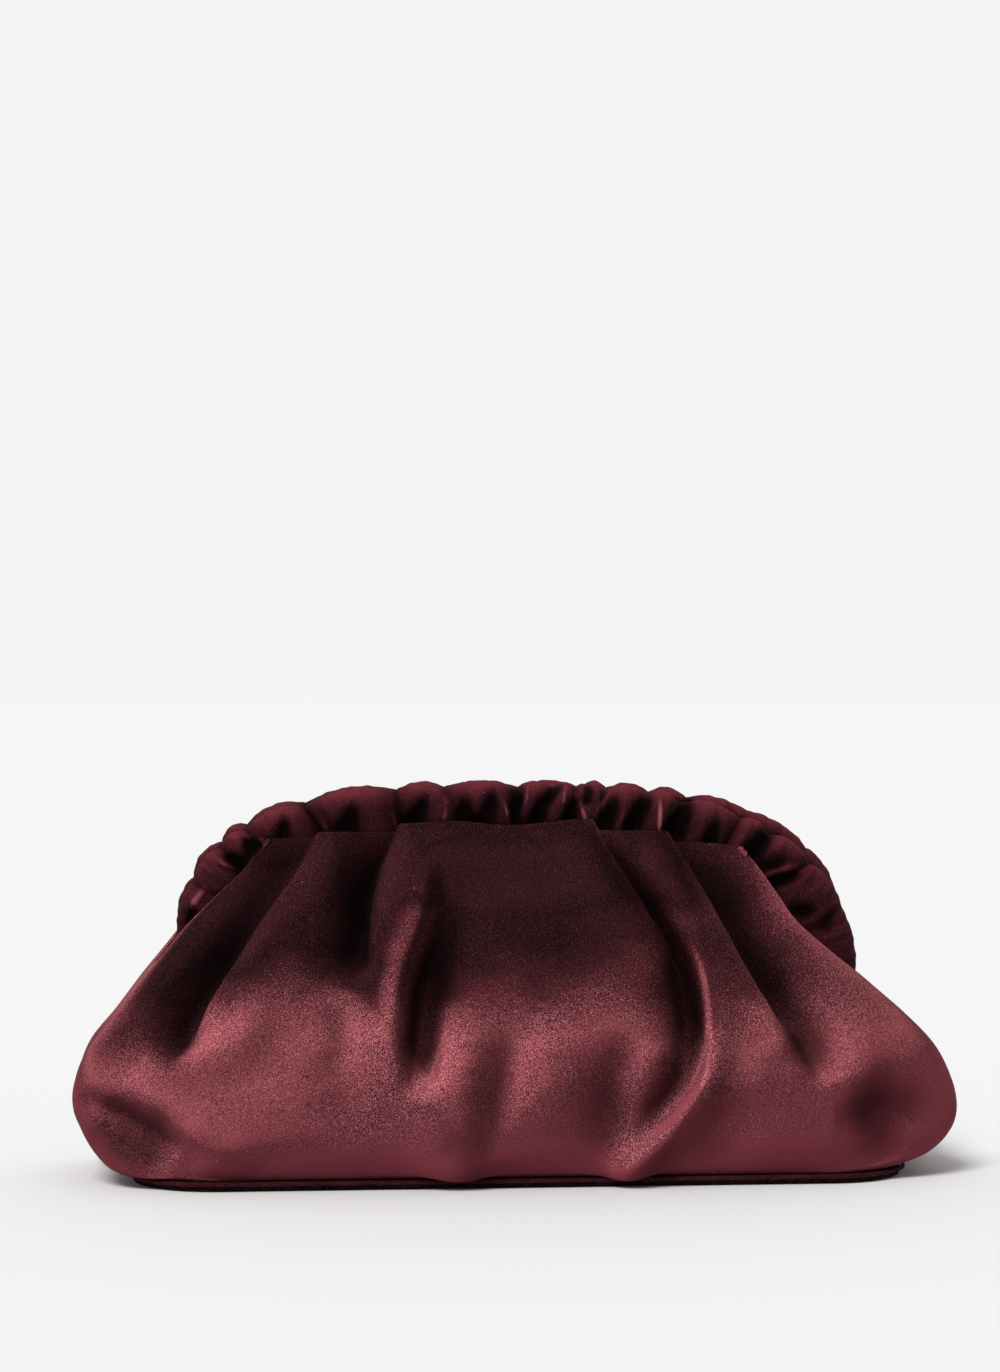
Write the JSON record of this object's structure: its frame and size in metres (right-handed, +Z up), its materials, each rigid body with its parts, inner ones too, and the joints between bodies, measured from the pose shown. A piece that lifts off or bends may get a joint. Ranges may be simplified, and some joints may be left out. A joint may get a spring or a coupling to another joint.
{
  "type": "cloud pouch bag",
  "caption": "Soft pleated velvet clutch with a gathered sleeve over a hidden closing frame, a rounded hollow belly and a flat stiff base.",
  "frame": {"origin": "on the surface it stands on, under the middle of the bag", "axes": "+X to the right as seen from the front, +Y to the back, +Z up"},
  "size_m": [0.3166, 0.1106, 0.141],
  "materials": {
    "velvet": "burgundy velvet, short cut pile with a soft sheen",
    "base_velvet": "burgundy velvet drawn tight over a stiff board",
    "frame_metal": "plain plated steel rod"
  },
  "bodies": {
    "root": {"front_panel": "velvet", "back_panel": "velvet", "front_casing": "velvet", "back_casing": "velvet", "closing_frame": "frame_metal", "base_panel": "base_velvet", "base_welt": "base_velvet"}
  },
  "joints": []
}
